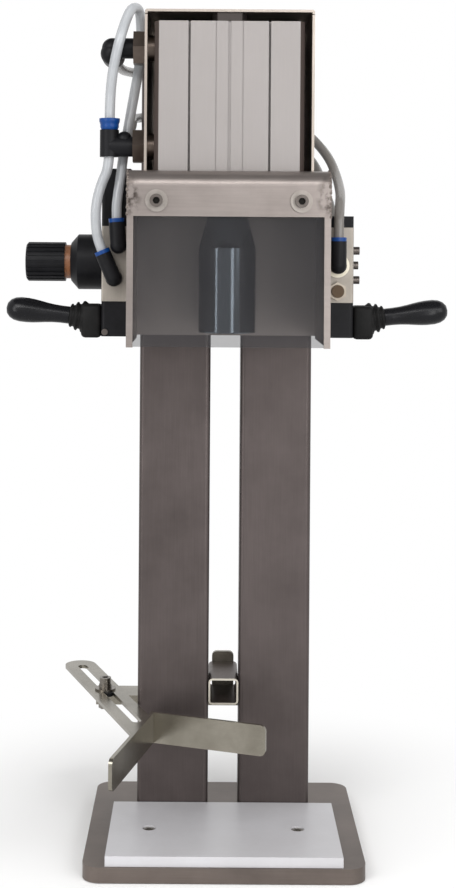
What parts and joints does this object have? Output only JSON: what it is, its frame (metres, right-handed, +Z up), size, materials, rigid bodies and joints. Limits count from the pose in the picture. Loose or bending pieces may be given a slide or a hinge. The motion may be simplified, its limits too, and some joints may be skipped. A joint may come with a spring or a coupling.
{
  "type": "crown capper",
  "caption": "Bench crown capper: an air cylinder on two posts pushes a bell down on a bottle; two hand valves, regulator and bottle guide.",
  "frame": {"origin": "capping axis at the base plate's underside", "axes": "+Z up along the capping axis, -Y towards the operator, +X to the operator's right"},
  "size_m": [0.356, 0.2812, 0.6825],
  "materials": {
    "stainless": "rolled sheet, satin",
    "white_plastic": "matte",
    "steel": "bright",
    "black_oxide": "satin",
    "anodised": "matte",
    "black_rubber": "matte",
    "chrome_rod": "polished",
    "bronze": "matte",
    "clear_plastic": "clear",
    "black_plastic": "satin",
    "nickel": "satin",
    "blue_plastic": "gloss",
    "orange_plastic": "gloss",
    "clear_tube": "translucent"
  },
  "bodies": {
    "frame": {"base_plate": "stainless", "bottle_rest_plate": "white_plastic", "rest_plate_screws": "steel", "left_post": "stainless", "right_post": "stainless", "cylinder_housing": "stainless", "top_spacer": "black_oxide", "cylinder_body": "anodised", "cylinder_top_cap": "anodised", "cylinder_bottom_cap": "anodised", "cylinder_screws": "steel", "rod_bush": "bronze", "hood": "stainless", "clear_guard": "clear_plastic", "guard_screws": "steel", "guard_washers": "steel", "left_valve_body": "anodised", "left_valve_cap": "black_plastic", "left_lever_head": "black_plastic", "left_lever_boot": "black_rubber", "right_valve_body": "anodised", "right_valve_cap": "black_plastic", "right_lever_head": "black_plastic", "right_lever_boot": "black_rubber", "lever_pins": "steel", "push_in_elbows": "black_plastic", "sealing_ring": "white_plastic", "right_silencer": "bronze", "valve_studs": "steel", "port_hexes": "nickel", "upper_elbow": "black_plastic", "double_tee": "black_plastic", "release_collars": "blue_plastic", "regulator_body": "black_plastic", "regulator_bonnet": "black_plastic", "regulator_lock_ring": "orange_plastic", "loop_tube": "clear_tube", "left_tube": "clear_tube", "right_front_tube": "clear_tube", "right_rear_tube": "clear_tube"},
    "ram": {"piston": "anodised", "piston_seals": "black_rubber", "piston_rod": "chrome_rod", "capping_bell": "steel", "crimp_throat": "steel", "ejector_spring": "steel"},
    "ejector_plunger": {"ejector": "steel", "crown_magnet": "black_oxide"},
    "left_lever": {"left_hand_lever": "black_plastic"},
    "right_lever": {"right_hand_lever": "black_plastic"},
    "stem": {"regulator_stem": "steel"},
    "knob": {"regulator_knob": "black_plastic"},
    "guide_carriage": {"guide_slider": "stainless", "guide_crossbar": "stainless"},
    "guide_swivel": {"guide_block": "black_plastic", "guide_bolt": "steel", "guide_fasteners": "steel"},
    "guide_fork": {"guide_arm": "stainless", "v_guide": "stainless"}
  },
  "joints": [
    {"name": "ram_slide", "type": "slide", "parent": "frame", "child": "ram", "axis": [0, 0, -1], "range_m": [0, 0.08]},
    {"name": "ejector_slide", "type": "slide", "parent": "ram", "child": "ejector_plunger", "axis": [0, 0, 1], "range_m": [0, 0.008], "stiffness_N_per_m": 2000, "springref_m": -0.004, "deforming": ["ejector_spring"]},
    {"name": "left_lever_pivot", "type": "hinge", "parent": "frame", "child": "left_lever", "pos_m": [-0.091, -0.002, 0.43], "axis": [0, -1, 0], "range_deg": [0, 20], "stiffness_Nm_per_rad": 2, "springref_deg": -11.46, "deforming": ["left_lever_boot"]},
    {"name": "right_lever_pivot", "type": "hinge", "parent": "frame", "child": "right_lever", "pos_m": [0.091, -0.002, 0.43], "axis": [0, 1, 0], "range_deg": [0, 20], "stiffness_Nm_per_rad": 2, "springref_deg": -11.46, "deforming": ["right_lever_boot"]},
    {"name": "stem_turn", "type": "hinge", "parent": "frame", "child": "stem", "pos_m": [-0.13, 0.038, 0.477], "axis": [-1, 0, 0], "continuous": true},
    {"name": "knob_push", "type": "slide", "parent": "stem", "child": "knob", "axis": [1, 0, 0], "range_m": [0, 0.003]},
    {"name": "guide_height", "type": "slide", "parent": "frame", "child": "guide_carriage", "axis": [0, 0, 1], "range_m": [-0.055, 0.22]},
    {"name": "guide_turn", "type": "hinge", "parent": "guide_carriage", "child": "guide_swivel", "pos_m": [-0.10261, 0.09977, 0.1], "axis": [0, 0, 1], "range_deg": [-25, 0]},
    {"name": "guide_reach", "type": "slide", "parent": "guide_swivel", "child": "guide_fork", "axis": [-0.33, 0.944, 0], "range_m": [-0.065, 0.015]}
  ]
}
